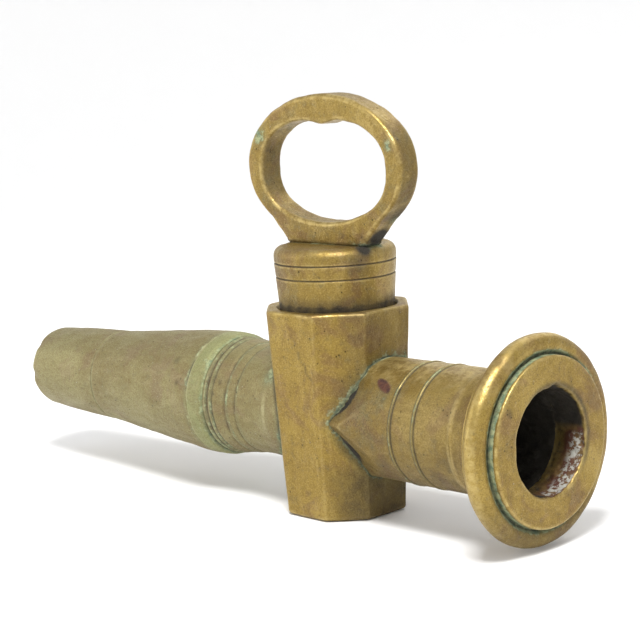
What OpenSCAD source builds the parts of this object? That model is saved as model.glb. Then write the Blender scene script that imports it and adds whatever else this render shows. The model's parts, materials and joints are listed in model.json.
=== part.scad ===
// Brass stopcock branch nozzle: flanged hose inlet, taper plug cock with a ring key,
// and a tapered branch that ends in a jet tip.
// Frame: the origin is the centre of the inlet mouth's face. +X points out of the mouth along the
// waterway, +Z points up the plug's axis. All sizes are in millimetres.

/* [Cock barrel] */
// Inlet mouth's face to the plug's axis
inlet_reach = 74; // [72:1:90]
// Octagon across flats at the barrel's top
flats_top = 38; // [37:0.2:40]
// Octagon across flats at the barrel's foot
flats_foot = 31.4; // [31:0.2:34]
// How far the diagonal flats stand out beyond a regular octagon
diagonal_out = 0.6; // [0:0.1:0.8]
// Barrel's height above the waterway's axis
barrel_rise = 30; // [28:1:32]
// Barrel's depth below the waterway's axis
barrel_drop = 28; // [27.5:0.5:32]
// Bevel around the barrel's top edge
rim_bevel = 0.8; // [0.4:0.1:1.2]

/* [Plug and key] */
// Plug's radius level with the barrel's top
plug_rim_r = 16; // [15.5:0.1:16.2]
// Half angle of the plug's taper, in degrees
plug_taper = 4.5; // [3.5:0.1:4.8]
// Radial running clearance between plug and barrel
plug_gap = 0.06; // [0.02:0.01:0.1]
// Height of the plug's head above the waterway's axis
head_top = 47; // [45:0.5:48]
// Width of the plug's port
port_w = 15; // [12:0.5:16]
// Height of the plug's port
port_h = 20; // [17:0.5:20]
// Key ring's width across
ring_w = 59; // [50:1:60]
// Key ring's height, without its foot
ring_h = 40; // [36:1:42]
// Key ring's thickness
ring_t = 7.8; // [5:0.2:8]
// Finger hole's width
hole_w = 47.4; // [40:0.2:48]
// Finger hole's height
hole_h = 28; // [24:0.5:28]

/* [Inlet] */
// Hose bore at the mouth
inlet_bore = 28; // [26:0.5:28]
// Outside radius of the inlet tail
tail_r = 16.6; // [16.4:0.1:17.2]
// Radius of the waterway through the cock
waterway_r = 10.5; // [10.4:0.1:11]
// Flange's outside diameter over its bead
flange_d = 54.8; // [50:0.2:55]
// Raised face ring's diameter
face_d = 44.2; // [42:0.2:45]

/* [Outlet] */
// Neck's radius where it leaves the cock
neck_r = 15.6; // [15.4:0.1:16]
// Ferrule's largest radius
ferrule_r = 18.2; // [17.8:0.1:19]
// Branch's radius at the jet tip's joint
branch_end_r = 14.1; // [13.8:0.1:15]
// Jet tip's outside radius at its end
tip_r = 12.4; // [11.5:0.1:13]
// Diameter of the jet
jet_bore = 16; // [12:0.5:16]
// Plug's axis to the jet's end
outlet_reach = 130.6; // [126:0.2:140]

/* [Hidden] */
FN = 96;
brass = "darkgoldenrod";
dull_brass = "darkkhaki";
hide = "saddlebrown";

// Stations along the waterway, from the plug's axis, positive towards the inlet
root_start = 9;                   // the pointed end of the tail's filed flats
root_end = 24.8;                  // the filed flats run out here
flange_face = inlet_reach - 2.6;  // the flange's face, where the raised ring sits
tail_end = inlet_reach - 10;      // end of the tail inside the flange
flange_start = inlet_reach - 20;  // the flange's socket starts here
step_in = inlet_reach - 40;       // the hose bore narrows to the waterway here
ferrule_face = -40;               // the ferrule's open end
cone_start = ferrule_face - 6;    // the branch laps over the ferrule from here
neck_end = ferrule_face - 14;     // end of the neck inside the ferrule
lap_end = ferrule_face - 18;      // end of the lap inside the branch
tip_joint = 33.6 - outlet_reach;  // the jet tip's visible joint
tip_seat = tip_joint + 12.5;      // the tip's washer seats here
jet_land = 14;                    // straight length of the jet
washer_t = 1.5;                   // a leather washer's thickness
socket_r = 14.8;                  // threaded socket between neck and ferrule
lap_r = 16.2;                     // ferrule's spigot inside the branch
sleeve_r = 15.6;                  // tail's end and bush sleeve inside the flange
spigot_r = 12.2;                  // jet tip's spigot inside the branch
neck_bore_r = 11.5;               // bore of the neck
tip_bore_r = 9.6;                 // the jet tip's bore at its washer
bead_r = 3;                       // radius of the flange's bead
flat_depth = 4.3;                 // depth of the filed flats at their pointed end
over = 1;                         // how far a cutting shape reaches past what it cuts

// Foot of the plug, with the washer and nut that hold it
plug_foot = -20.4;                // the taper ends here
shoulder = -21;                   // top of the recess under the barrel
recess_r = 13.4;                  // the recess's radius
plate_top = shoulder - 0.1;       // the washer runs just clear of the barrel
plate_t = 2;                      // the washer's thickness
plate_r = 12.9;                   // the washer's radius
shank_w = 8;                      // square of the shank that turns the washer
stud_r = 4;                       // threaded end of the plug
stud_end = -barrel_drop + 0.5;    // the stud stops inside the recess
nut_flats = 13;                   // the nut's width across flats
nut_t = 4;                        // the nut's thickness

// Key ring
tang_w = 24;                      // width of the ring's tang in the plug's head
tang_d = 6;                       // depth of the tang
foot_half = 15;                   // half width of the ring's foot on the head
ring_z = head_top + 1 + ring_h / 2;  // the ring's middle
hole_z = ring_z - 1;              // the finger hole's middle

function taper_r(z) = plug_rim_r - (barrel_rise - z) * tan(plug_taper);
function arc(cr, cu, r, a0, a1, n) =
    [for (i = [0 : n]) let (a = a0 + (a1 - a0) * i / n) [cr + r * cos(a), cu + r * sin(a)]];
function superoval(w, h, power, n) =
    [for (i = [0 : n - 1]) let (a = 360 * i / n, c = cos(a), s = sin(a))
        [sign(c) * w / 2 * pow(abs(c), 2 / power), sign(s) * h / 2 * pow(abs(s), 2 / power)]];

// Outline of the block between two opposite sloping flats, each moved out by a distance
function flat_pair(out) =
    let (top = flats_top / 2 + out, foot = flats_foot / 2 + out, low = -barrel_drop)
    [[-foot, low], [foot, low], [top, barrel_rise - rim_bevel], [top - rim_bevel, barrel_rise],
     [-top + rim_bevel, barrel_rise], [-top, barrel_rise - rim_bevel]];

// Places a part drawn about the plug's axis in the object's frame
module at_plug() {
    translate([-inlet_reach, 0, 0]) children();
}

// A solid turned about the waterway from points [radius, station]
module turned(points) {
    rotate([0, 90, 0]) rotate_extrude($fn = FN) polygon(points);
}

// A round hole along the waterway between two stations
module bored(r, from, to) {
    translate([from, 0, 0]) rotate([0, 90, 0]) cylinder(r = r, h = to - from, $fn = FN);
}

// The tapered octagon of the barrel, as four crossed pairs of sloping flats
module octagon_block() {
    intersection_for (i = [0 : 3])
        rotate([0, 0, 45 * i]) rotate([90, 0, 0])
            translate([0, 0, -flats_top]) linear_extrude(2 * flats_top)
                polygon(flat_pair(i % 2 == 1 ? diagonal_out : 0));
}

// The round-ended port, along X
module port(length) {
    end_z = (port_h - port_w) / 2;
    for (z = [-end_z, end_z])
        translate([-length / 2, 0, z]) rotate([0, 90, 0]) cylinder(d = port_w, h = length, $fn = FN);
    cube([length, port_w, 2 * end_z], center = true);
}

// The bore for the plug, with the recess below it
module plug_seat() {
    translate([0, 0, shoulder - over])
        cylinder(r1 = taper_r(shoulder - over) + plug_gap,
                 r2 = taper_r(barrel_rise + over) + plug_gap,
                 h = barrel_rise - shoulder + 2 * over, $fn = FN);
    translate([0, 0, -barrel_drop - over])
        cylinder(r = recess_r, h = shoulder + barrel_drop + over, $fn = FN);
}

// What is filed away from the root of the inlet tail to leave four sloping flats
module root_flats() {
    slope = atan(flat_depth / (root_end - root_start));
    long = 3 * root_end;
    for (tilt = [36, 144, 216, 324])
        rotate([tilt - 90, 0, 0]) translate([root_end, 0, tail_r]) rotate([0, -slope, 0])
            translate([-long, -tail_r, 0]) cube([long, 2 * tail_r, tail_r]);
}

module cock_barrel() color(brass) at_plug() {
    difference() {
        octagon_block();
        plug_seat();
        port(2 * flats_top);
    }
}

// One half of the space beside the plug's axis: side is 1 towards the inlet, -1 towards the jet
module half_space(side) {
    size = 2 * flats_top;
    translate([side * size / 2, 0, 0]) cube(size, center = true);
}

module inlet_tail() color(brass) at_plug() {
    bead_h = 0.35;
    bead_w = 0.9;
    beads = [for (u = [33.4, 41.5]) each
             [[tail_r, u - bead_w], [tail_r + bead_h, u], [tail_r, u + bead_w]]];
    difference() {
        turned(concat([[0, 0], [tail_r, 0]], beads,
                      [[tail_r, flange_start], [sleeve_r, flange_start], [sleeve_r, tail_end],
                       [0, tail_end]]));
        octagon_block();
        root_flats();
        bored(waterway_r, -over, step_in + over);
        bored(inlet_bore / 2, step_in, tail_end + over);
        half_space(-1);
    }
}

module inlet_flange() color(brass) at_plug() {
    bead_u = flange_face - 2.2;
    rim = flange_d / 2 - bead_r;
    cove_r = 12;
    groove = 0.4;
    turned(concat([[sleeve_r, flange_start]],
                  arc(tail_r + cove_r, flange_start, cove_r, 180, 108, 10),
                  arc(rim, bead_u, bead_r, -80, 75, 14),
                  [[face_d / 2 + groove, flange_face], [sleeve_r, flange_face]]));
}

module mouth_bush() color(brass) at_plug() {
    edge = 0.6;
    difference() {
        turned([[0, tail_end], [sleeve_r, tail_end], [sleeve_r, flange_face],
                [face_d / 2, flange_face], [face_d / 2, inlet_reach - edge],
                [face_d / 2 - edge, inlet_reach], [0, inlet_reach]]);
        bored(inlet_bore / 2, tail_end - over, inlet_reach + over);
    }
}

module outlet_neck() color(dull_brass) at_plug() {
    flare_r = 16.6;
    collar_r = ferrule_r - 1.1;
    difference() {
        turned([[0, neck_end], [socket_r, neck_end], [socket_r, ferrule_face],
                [collar_r, ferrule_face], [collar_r - 0.5, ferrule_face + 4],
                [neck_r + 0.5, ferrule_face + 9], [neck_r, ferrule_face + 13],
                [neck_r, ferrule_face + 20], [flare_r, ferrule_face + 25], [flare_r, 0], [0, 0]]);
        octagon_block();
        bored(neck_bore_r, neck_end - over, over);
        half_space(1);
    }
}

module ring_washer(outer_r, inner_r, from) {
    difference() {
        bored(outer_r, from, from + washer_t);
        bored(inner_r, from - over, from + washer_t + over);
    }
}

module neck_washer() color(hide) at_plug() {
    ring_washer(socket_r, neck_bore_r, neck_end - washer_t);
}

module branch_ferrule() color(dull_brass) at_plug() {
    nose = 4;
    difference() {
        turned(concat([[0, lap_end], [lap_r, lap_end], [lap_r, cone_start], [ferrule_r, cone_start]],
                      arc(ferrule_r - nose, ferrule_face - nose, nose, 0, 45, 6),
                      [[ferrule_r - nose / 2, ferrule_face], [0, ferrule_face]]));
        bored(socket_r, neck_end - washer_t, ferrule_face + over);
        bored(neck_bore_r, lap_end - over, neck_end);
    }
}

module branch_cone() color(dull_brass) at_plug() {
    full = ferrule_r - branch_end_r;
    bore_end_r = 10.5;
    bore_start_r = 12;
    seam = 0.01;
    difference() {
        turned([[0, tip_joint], [branch_end_r, tip_joint], [branch_end_r + 0.2 * full, tip_joint + 7],
                [branch_end_r + 0.54 * full, tip_joint + 23], [ferrule_r - 0.17 * full, lap_end - 2],
                [ferrule_r, cone_start - 5], [ferrule_r, cone_start], [0, cone_start]]);
        bored(lap_r, lap_end, cone_start + over);
        turned([[0, tip_seat], [bore_end_r, tip_seat], [bore_start_r, lap_end + seam],
                [0, lap_end + seam]]);
        bored(spigot_r, tip_joint - over, tip_seat);
    }
}

module tip_washer() color(hide) at_plug() {
    ring_washer(spigot_r, tip_bore_r, tip_seat - washer_t);
}

module jet_tip() color(dull_brass) at_plug() {
    end = -outlet_reach;
    round_r = 1.2;
    difference() {
        turned(concat([[0, end]], arc(tip_r - round_r, end + round_r, round_r, -90, 0, 5),
                      [[branch_end_r, tip_joint], [spigot_r, tip_joint],
                       [spigot_r, tip_seat - washer_t], [0, tip_seat - washer_t]]));
        bored(jet_bore / 2, end - over, end + jet_land + over);
        turned([[0, end + jet_land], [jet_bore / 2, end + jet_land], [tip_bore_r, tip_seat],
                [0, tip_seat]]);
    }
}

module plug() color(brass) at_plug() {
    round_r = 2.2;
    side_r = taper_r(head_top - 3);
    groove = 0.5;
    grooves = [for (z = [38.5, 42.4]) each
               [[taper_r(z - groove), z - groove], [taper_r(z) - groove, z],
                [taper_r(z + groove), z + groove]]];
    difference() {
        rotate_extrude($fn = FN)
            polygon(concat([[0, plug_foot], [taper_r(plug_foot), plug_foot]], grooves,
                           arc(side_r - round_r, head_top - round_r, round_r, 0, 90, 6),
                           [[0, head_top]]));
        port(3 * plug_rim_r);
        tang();
    }
    translate([-shank_w / 2, -shank_w / 2, plate_top - plate_t])
        cube([shank_w, shank_w, plug_foot - plate_top + plate_t]);
    translate([0, 0, stud_end])
        cylinder(r = stud_r, h = plate_top - plate_t - stud_end, $fn = FN);
}

// The key ring's tang, and the slot in the plug's head that takes it
module tang() {
    translate([-tang_w / 2, -ring_t / 2, head_top - tang_d]) cube([tang_w, ring_t, tang_d]);
}

module key_ring() color(brass) at_plug() {
    nib_r = 8;
    nib_h = 0.8;
    spread = 5;
    foot_h = 6;
    difference() {
        rotate([90, 0, 0]) translate([0, 0, -ring_t / 2]) linear_extrude(ring_t) difference() {
            union() {
                translate([0, ring_z]) polygon(superoval(ring_w, ring_h, 2, 72));
                polygon([[-foot_half, head_top], [foot_half, head_top],
                         [foot_half + spread, head_top + foot_h],
                         [-foot_half - spread, head_top + foot_h]]);
            }
            difference() {
                translate([0, hole_z]) polygon(superoval(hole_w, hole_h, 2.3, 72));
                translate([0, hole_z + hole_h / 2 + nib_r - nib_h]) circle(r = nib_r, $fn = FN);
            }
        }
        translate([0, 0, head_top - ring_h / 2]) cube([ring_w, 3 * ring_t, ring_h], center = true);
    }
    tang();
}

module plug_washer() color(brass) at_plug() {
    difference() {
        translate([0, 0, plate_top - plate_t]) cylinder(r = plate_r, h = plate_t, $fn = FN);
        cube([shank_w, shank_w, 4 * barrel_drop], center = true);
    }
}

module plug_nut() color(brass) at_plug() {
    difference() {
        translate([0, 0, plate_top - plate_t - nut_t])
            cylinder(d = nut_flats / cos(30), h = nut_t, $fn = 6);
        cylinder(r = stud_r, h = 4 * barrel_drop, center = true, $fn = FN);
    }
}

cock_barrel();
inlet_tail();
inlet_flange();
mouth_bush();
outlet_neck();
neck_washer();
branch_ferrule();
branch_cone();
tip_washer();
jet_tip();
plug();
key_ring();
plug_washer();
plug_nut();
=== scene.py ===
# %% [markdown]
# # An old brass stopcock branch
# A branch is the end of a fire hose: water enters by the flanged mouth, passes a plug cock that the
# finger ring turns, and leaves through the tapered branch and its jet tip. The drawing office has
# already made the frame: sizes, joint and bodies. This file gives the frame its looks, and it
# begins by loading it.

# %% Load the frame
import json
import math
import bmesh
import bpy
from mathutils import Matrix, Vector, noise


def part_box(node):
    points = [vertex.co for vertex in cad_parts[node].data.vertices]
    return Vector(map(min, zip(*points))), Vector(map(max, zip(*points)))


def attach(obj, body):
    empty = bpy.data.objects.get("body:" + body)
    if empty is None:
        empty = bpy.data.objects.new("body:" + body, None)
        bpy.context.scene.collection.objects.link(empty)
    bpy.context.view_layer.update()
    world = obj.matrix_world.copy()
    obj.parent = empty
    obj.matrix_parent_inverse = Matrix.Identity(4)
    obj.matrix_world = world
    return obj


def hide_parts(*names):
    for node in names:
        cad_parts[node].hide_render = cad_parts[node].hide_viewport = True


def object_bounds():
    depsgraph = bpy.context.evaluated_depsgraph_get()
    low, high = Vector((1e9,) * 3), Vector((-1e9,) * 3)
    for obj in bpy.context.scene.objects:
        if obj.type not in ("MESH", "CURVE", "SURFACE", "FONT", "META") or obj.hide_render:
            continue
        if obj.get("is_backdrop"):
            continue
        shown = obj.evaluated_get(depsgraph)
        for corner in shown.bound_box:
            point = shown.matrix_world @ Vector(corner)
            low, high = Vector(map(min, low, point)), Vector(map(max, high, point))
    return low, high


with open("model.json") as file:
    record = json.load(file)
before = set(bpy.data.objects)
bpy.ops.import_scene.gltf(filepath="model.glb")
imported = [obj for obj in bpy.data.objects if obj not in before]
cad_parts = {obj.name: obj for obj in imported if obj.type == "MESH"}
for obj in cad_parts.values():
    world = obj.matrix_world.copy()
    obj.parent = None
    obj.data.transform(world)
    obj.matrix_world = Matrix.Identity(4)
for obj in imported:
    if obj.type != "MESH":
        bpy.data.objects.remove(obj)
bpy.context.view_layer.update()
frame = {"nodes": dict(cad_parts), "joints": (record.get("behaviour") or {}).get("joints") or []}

MM = 0.001

# %% [markdown]
# Many sizes below are taken from the frame. The cock's crossing point, where the plug's axis meets
# the waterway, is the handiest place to measure from, so stations are counted from it in
# millimetres: positive towards the hose, negative towards the jet.

# %% Stations from the frame
plug_joint = frame["joints"][0]
cross = Vector(plug_joint["pos_m"])


def reach(node, axis="x"):
    """Lowest and highest station of a node along an axis, in millimetres from the crossing."""
    low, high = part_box(node)
    return (getattr(low - cross, axis) / MM, getattr(high - cross, axis) / MM)


def radius(node):
    """Largest radius of a node turned about the waterway, in millimetres."""
    return reach(node, "y")[1]


foot_z, rim_z = reach("cock_barrel", "z")
mouth = reach("mouth_bush")[1]
jet = reach("jet_tip")[0]
print("mouth", round(mouth, 1), "jet", round(jet, 1), "barrel", round(foot_z, 1), round(rim_z, 1))

# %% [markdown]
# The camera stands a little above the waterway, to the hose side, so the mouth opens towards it and
# the branch runs away. A long lens from half a metre keeps the taper of the branch honest.

# %% Camera
VIEW_AZIMUTH, VIEW_HEIGHT, VIEW_ROLL = (math.radians(a) for a in (-44.2, 9.05, -2.9))
VIEW_DISTANCE = 494 * MM
AIM_RIGHT, AIM_UP = -5.0 * MM, 25.3 * MM


def make_camera():
    """A camera given by its direction round the crossing, its height, roll and distance."""
    ahead = -Vector((math.cos(VIEW_AZIMUTH) * math.cos(VIEW_HEIGHT),
                     math.sin(VIEW_AZIMUTH) * math.cos(VIEW_HEIGHT), math.sin(VIEW_HEIGHT)))
    right = ahead.cross(Vector((0, 0, 1))).normalized()
    up = right.cross(ahead)
    place = cross + right * AIM_RIGHT + up * AIM_UP - ahead * VIEW_DISTANCE
    turned = Matrix.Rotation(-VIEW_ROLL, 3, ahead)
    right, up = turned @ right, turned @ up
    camera = bpy.data.objects.new("camera", bpy.data.cameras.new("camera"))
    camera.matrix_world = Matrix.Translation(place) @ Matrix((right, up, -ahead)).transposed().to_4x4()
    camera.data.lens = 99.25
    bpy.context.collection.objects.link(camera)
    bpy.context.scene.camera = camera
    return camera


camera = make_camera()
print("camera", [round(v, 3) for v in camera.location])

# %% [markdown]
# The stage is one sheet of pale paper that curves up all round, so that no view meets an edge or a
# horizon. It is a profile of three points and an arc, spun about the upright axis.

# %% Stage
STAGE_R, SWEEP_R, STAGE_TOP = 1.6, 0.6, 1.7
paper = bpy.data.materials.new("pale_paper")
paper.use_nodes = True
paper.node_tree.nodes["Principled BSDF"].inputs["Base Color"].default_value = (0.92, 0.92, 0.92, 1)
paper.node_tree.nodes["Principled BSDF"].inputs["Roughness"].default_value = 0.9


def make_stage():
    """A round floor that sweeps up into a wall, just under the barrel's foot."""
    floor_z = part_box("cock_barrel")[0].z - 0.05 * MM
    bm = bmesh.new()
    arc = [(STAGE_R - SWEEP_R + SWEEP_R * math.sin(a), SWEEP_R - SWEEP_R * math.cos(a))
           for a in (math.radians(90 * i / 12) for i in range(13))]
    profile = [(0, 0), (0.3, 0)] + arc + [(STAGE_R, STAGE_TOP)]
    verts = [bm.verts.new((cross.x + r, 0, floor_z + z)) for r, z in profile]
    edges = [bm.edges.new(pair) for pair in zip(verts, verts[1:])]
    bmesh.ops.spin(bm, geom=verts + edges, cent=(cross.x, 0, 0), axis=(0, 0, 1), angle=math.tau,
                   steps=64, use_merge=True)
    bmesh.ops.remove_doubles(bm, verts=bm.verts, dist=1e-5)
    bmesh.ops.recalc_face_normals(bm, faces=bm.faces)
    mesh = bpy.data.meshes.new("stage")
    bm.to_mesh(mesh)
    mesh.shade_smooth()
    mesh.materials.append(paper)
    stage = bpy.data.objects.new("stage", mesh)
    bpy.context.collection.objects.link(stage)
    stage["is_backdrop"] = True
    return stage


stage = make_stage()
print("stage", [round(v, 2) for v in stage.dimensions], "m")

# %% [markdown]
# Old brass looks its best in soft light with one clear direction. The key is a soft box high over
# the camera's left shoulder. It leaves a gentle shadow under the inlet tail and lights the first
# few millimetres inside the mouth. A weaker panel on the left fills the far side.

# %% Lights


def soft_box(name, direction, distance, width, power):
    """A square area light that looks at the cock from a direction."""
    light = bpy.data.lights.new(name, "AREA")
    light.shape, light.size, light.energy = "SQUARE", width, power
    lamp = bpy.data.objects.new(name, light)
    aim = Vector(direction).normalized()
    lamp.location = cross + aim * distance
    lamp.rotation_mode = "QUATERNION"
    lamp.rotation_quaternion = aim.to_track_quat("Z", "Y")
    bpy.context.collection.objects.link(lamp)
    return lamp


lamps = [soft_box("key", (0.305, -0.36, 0.88), 1.0, 0.26, 10),
         soft_box("left_panel", (-0.9, -0.8, 0.35), 1.2, 0.8, 3),
         soft_box("back_panel", (-0.2, 0.9, 0.9), 1.2, 0.8, 3)]
print("lights", [lamp.name for lamp in lamps])

world = bpy.data.worlds.new("studio")
bpy.context.scene.world = world
world.use_nodes = True
world.node_tree.nodes["Background"].inputs["Color"].default_value = (1, 1, 1, 1)
world.node_tree.nodes["Background"].inputs["Strength"].default_value = 0.68
bpy.context.scene.view_settings.view_transform = "Standard"

# %% [markdown]
# Most of the pieces were turned on a lathe, so most start as one outline. An outline is a list of
# corners: station, radius and, where the tool or wear rounded it, a fillet. The helper puts in the
# arcs and cuts the straights into short steps, because the castings are not quite true and a mesh
# can only be uneven where it has points.

# %% Outlines


def rounded(corners, step=0.5, closed=True):
    """Points along an outline of (station, radius[, fillet]) corners, arcs put in, straights cut."""
    points, count = [], len(corners)
    for i, corner in enumerate(corners):
        here = Vector(corner[:2])
        fillet = corner[2] if len(corner) > 2 else 0
        inside = closed or 0 < i < count - 1
        if not fillet or not inside:
            points.append(here)
            continue
        back = (Vector(corners[i - 1][:2]) - here).normalized()
        ahead = (Vector(corners[(i + 1) % count][:2]) - here).normalized()
        half = back.angle(ahead) / 2
        centre = here + (back + ahead).normalized() * fillet / math.sin(half)
        start = here + back * fillet / math.tan(half) - centre
        end = here + ahead * fillet / math.tan(half) - centre
        sweep = math.pi - 2 * half
        bends = max(2, math.ceil(sweep * fillet / min(step, 0.35)))
        points += [centre + start.slerp(end, k / bends) * fillet for k in range(bends + 1)]
    cut = []
    for i, here in enumerate(points if closed else points[:-1]):
        there = points[(i + 1) % len(points)]
        pieces = max(1, round((there - here).length / step))
        cut += [here.lerp(there, k / pieces) for k in range(pieces)]
    return cut if closed else cut + [points[-1]]


def turned(corners, upright=False, steps=216, step=0.5, closed=True):
    """A bmesh spun from an outline about the waterway, or about the plug's axis if upright."""
    bm = bmesh.new()
    outline = rounded(corners, step, closed)
    if upright:
        verts = [bm.verts.new((r, 0, u)) for u, r in outline]
    else:
        verts = [bm.verts.new((u, 0, r)) for u, r in outline]
    pairs = list(zip(verts, verts[1:])) + ([(verts[-1], verts[0])] if closed else [])
    edges = [bm.edges.new(pair) for pair in pairs]
    bmesh.ops.spin(bm, geom=verts + edges, cent=(0, 0, 0), axis=(0, 0, 1) if upright else (1, 0, 0),
                   angle=math.tau, steps=steps, use_merge=True)
    bmesh.ops.remove_doubles(bm, verts=bm.verts, dist=0.001)
    bmesh.ops.recalc_face_normals(bm, faces=bm.faces)
    return bm


# %% [markdown]
# Nothing on the real thing is quite smooth: the castings have a slow swell from the sand mould, and
# a hundred years of knocks. Two helpers do that. One pushes points in and out along their normals by
# a noise, and the other reads how sharply the surface bends at each point and stores it, so that the
# metal can be bright on the edges that hands rub and dark in the corners that a rag misses.

# %% Unevenness and marks


def swell(bm, amount, size, seed, octaves=3):
    """Pushes the points along their normals by a slow noise: amount and size in millimetres."""
    bm.normal_update()
    away = Vector((seed * 17.3, seed * 5.1, seed * 9.7))
    for v in bm.verts:
        v.co += v.normal * amount * noise.fractal(v.co / size + away, 1.0, 2.0, octaves)


def smooth_step(low, high, value):
    """0 below low, 1 above high, with a soft change between. It also runs backwards."""
    t = min(1, max(0, (value - low) / (high - low)))
    return t * t * (3 - 2 * t)


def mark_bends(bm, rounds=2):
    """Stores worn, on outside bends, and grime, in inside bends."""
    bm.normal_update()
    bm.verts.index_update()
    bend = []
    for v in bm.verts:
        total, length = 0.0, 0.0
        for e in v.link_edges:
            if e.is_manifold:
                total += e.calc_face_angle_signed(0)
                length += e.calc_length()
        bend.append(total / length if length else 0)
    for _ in range(rounds):
        bend = [(bend[v.index] * 2 + sum(bend[e.other_vert(v).index] for e in v.link_edges))
                / (2 + len(v.link_edges)) for v in bm.verts]
    wear_and_sheen = bm.verts.layers.float.new("wear_and_sheen")
    grime_and_shade = bm.verts.layers.float.new("grime_and_shade")
    for v in bm.verts:
        v[wear_and_sheen] = smooth_step(0.06, 0.45, bend[v.index])
        v[grime_and_shade] = smooth_step(0.04, 0.3, -bend[v.index])


def mark(bm, name, rule):
    """Stores a value from 0 to 1 at every point, from its place. The larger of two values stays."""
    layer = bm.verts.layers.float.get(name) or bm.verts.layers.float.new(name)
    for v in bm.verts:
        v[layer] = max(v[layer], min(1, max(0, rule(v.co))))


def finish_piece(bm, name, body, slot, material, *nodes):
    """Turns a bmesh in millimetres about the crossing into a piece of the object, in its place."""
    bmesh.ops.scale(bm, vec=(MM, MM, MM), verts=bm.verts)
    bmesh.ops.translate(bm, vec=cross, verts=bm.verts)
    mesh = bpy.data.meshes.new(name)
    bm.to_mesh(mesh)
    bm.free()
    mesh.shade_smooth()
    mesh.set_sharp_from_angle(angle=math.radians(50))
    piece = bpy.data.objects.new(name, mesh)
    bpy.context.collection.objects.link(piece)
    mesh.materials.append(material)
    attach(piece, body)
    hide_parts(*nodes)
    size = [round(v / MM, 1) for v in piece.dimensions]
    print(name, size, "mm,", len(mesh.polygons), "faces")
    return piece


# %% [markdown]
# A material is easier to read as arithmetic than as boxes and wires. This small class wraps one
# shader socket, so that an expression such as `1 - mask * 0.5` adds its own Math nodes.

# %% Shader arithmetic


def operator(operation, swapped=False):
    """A method that adds one Math node between a number and another value."""
    def act(self, other=None):
        pair = (other, self) if swapped else (self, other)
        made = self.tree.nodes.new("ShaderNodeMath")
        made.operation = operation
        for socket, value in zip(made.inputs, pair):
            put(self.tree, socket, value)
        return Num(self.tree, made.outputs[0])
    return act


class Num:
    """A number socket that adds Math nodes when it is used in an expression."""

    def __init__(self, tree, socket):
        self.tree = tree
        self.socket = socket

    __add__ = operator("ADD")
    __radd__ = operator("ADD", True)
    __sub__ = operator("SUBTRACT")
    __rsub__ = operator("SUBTRACT", True)
    __mul__ = operator("MULTIPLY")
    __rmul__ = operator("MULTIPLY", True)
    least = operator("MINIMUM")
    most = operator("MAXIMUM")
    size = operator("ABSOLUTE")

    def step(self, low, high):
        """A soft step from 0 at low to 1 at high, which also runs backwards."""
        made = self.tree.nodes.new("ShaderNodeMapRange")
        made.interpolation_type = "SMOOTHSTEP"
        for socket, value in zip(made.inputs, (self, low, high, 0.0, 1.0)):
            put(self.tree, socket, value)
        return Num(self.tree, made.outputs[0])


def put(tree, socket, value):
    """Sets a socket to a value, or links it."""
    if value is None:
        return
    if isinstance(value, Num):
        value = value.socket
    if isinstance(value, bpy.types.NodeSocket):
        tree.links.new(value, socket)
    elif socket.type == "RGBA" and len(value) == 3:
        socket.default_value = (*value, 1)
    else:
        socket.default_value = value


class Finish:
    """A material under construction: nodes, noises, stored marks and colour mixes."""

    def __init__(self, name):
        self.material = bpy.data.materials.new(name)
        self.material.use_nodes = True
        self.tree = self.material.node_tree
        self.shader = self.tree.nodes["Principled BSDF"]
        self.place = self.node("ShaderNodeTexCoord").outputs["Object"]

    def node(self, kind, settings=None, sockets=None):
        """Adds a node: its settings first, then the values or links of its sockets."""
        made = self.tree.nodes.new(kind)
        for name, value in (settings or {}).items():
            setattr(made, name, value)
        for name, value in (sockets or {}).items():
            put(self.tree, made.inputs[name], value)
        return made

    def stretched(self, scale, turn=(0, 0, 0)):
        """The object's coordinates, stretched and turned."""
        return self.node("ShaderNodeMapping", {}, {"Vector": self.place, "Scale": scale,
                                                   "Rotation": turn}).outputs[0]

    def grain(self, size, detail=4, rough=0.55, warp=0.0, where=None):
        """A noise from 0 to 1 whose features are about a size in millimetres."""
        made = self.node("ShaderNodeTexNoise", {"noise_dimensions": "3D"},
                         {"Vector": where or self.place, "Scale": 1 / (size * MM), "Detail": detail,
                          "Roughness": rough, "Distortion": warp})
        return Num(self.tree, made.outputs["Fac"])

    def cells(self, size):
        """The distance to the nearest of many scattered points, in sizes."""
        made = self.node("ShaderNodeTexVoronoi", {"feature": "F1"},
                         {"Vector": self.place, "Scale": 1 / (size * MM)})
        return Num(self.tree, made.outputs["Distance"])

    def stored(self, name):
        """A mark stored on the mesh."""
        made = self.node("ShaderNodeAttribute", {"attribute_type": "GEOMETRY", "attribute_name": name})
        return Num(self.tree, made.outputs["Fac"])

    def mix(self, amount, first, second):
        """A blend of two colours."""
        made = self.node("ShaderNodeMix", {"data_type": "RGBA"}, {0: amount, 6: first, 7: second})
        return made.outputs[2]

    def bump(self, height, depth):
        """A bump whose height is 0 to 1 over a depth in millimetres."""
        return self.node("ShaderNodeBump", {}, {"Strength": 1.0, "Distance": depth * MM,
                                                "Height": height}).outputs[0]

    def done(self, **sockets):
        """Sets the shader's sockets and returns the material."""
        for name, value in sockets.items():
            put(self.tree, self.shader.inputs[name.replace("_", " ").title()], value)
        return self.material


# %% [markdown]
# Brass that has been left alone goes through three stages, and this piece shows all of them. Where
# hands rub, it is golden. Where nobody rubs, a thin oxide turns it brown, then khaki. Where water
# stood, it grows verdigris, a pale green salt that is chalky and not metal at all. One function
# makes every brass finish from the same layers, with the amounts as its arguments.

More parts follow.
